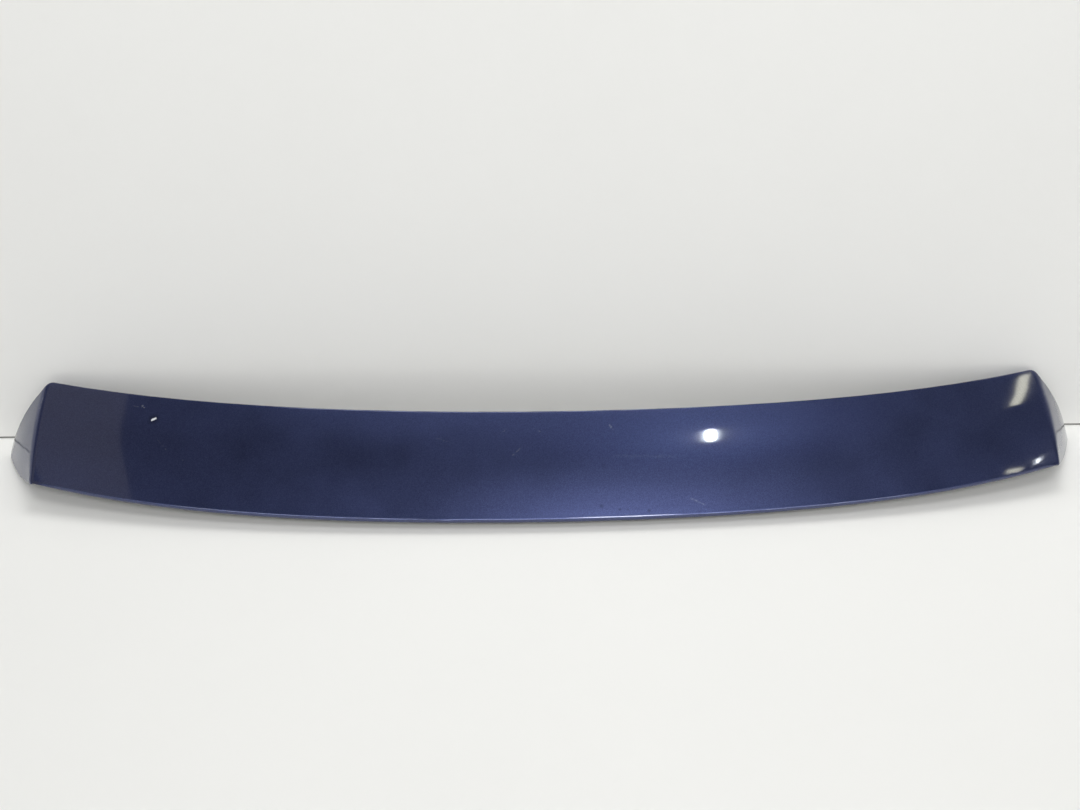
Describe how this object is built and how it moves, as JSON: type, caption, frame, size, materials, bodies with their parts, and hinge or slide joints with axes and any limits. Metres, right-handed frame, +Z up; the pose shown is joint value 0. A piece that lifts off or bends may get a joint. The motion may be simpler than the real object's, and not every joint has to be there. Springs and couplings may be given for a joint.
{
  "type": "rear roof spoiler",
  "caption": "Painted rear roof spoiler with a wide swept deck, rounded trailing lip and drop-down end cheeks, on studs for a tailgate.",
  "frame": {"origin": "centre of the box's footprint, on the surface that the spoiler rests on", "axes": "+X across the car, +Y from trailing edge to leading edge, +Z up as it rests on its cheek tips and heel"},
  "size_m": [1.216, 0.1673, 0.0827],
  "materials": {
    "body_paint": "navy metallic paint under clear coat",
    "black_plastic": "fine-grained moulded plastic",
    "stud_steel": "zinc-plated steel",
    "foam": "closed-cell foam",
    "seal_rubber": "matt rubber"
  },
  "bodies": {
    "root": {"upper_shell": "body_paint", "lower_shell": "black_plastic", "mounting_studs": "stud_steel", "stud_seal_rings": "foam", "leading_edge_seal": "seal_rubber", "cheek_pads": "foam"}
  },
  "joints": []
}
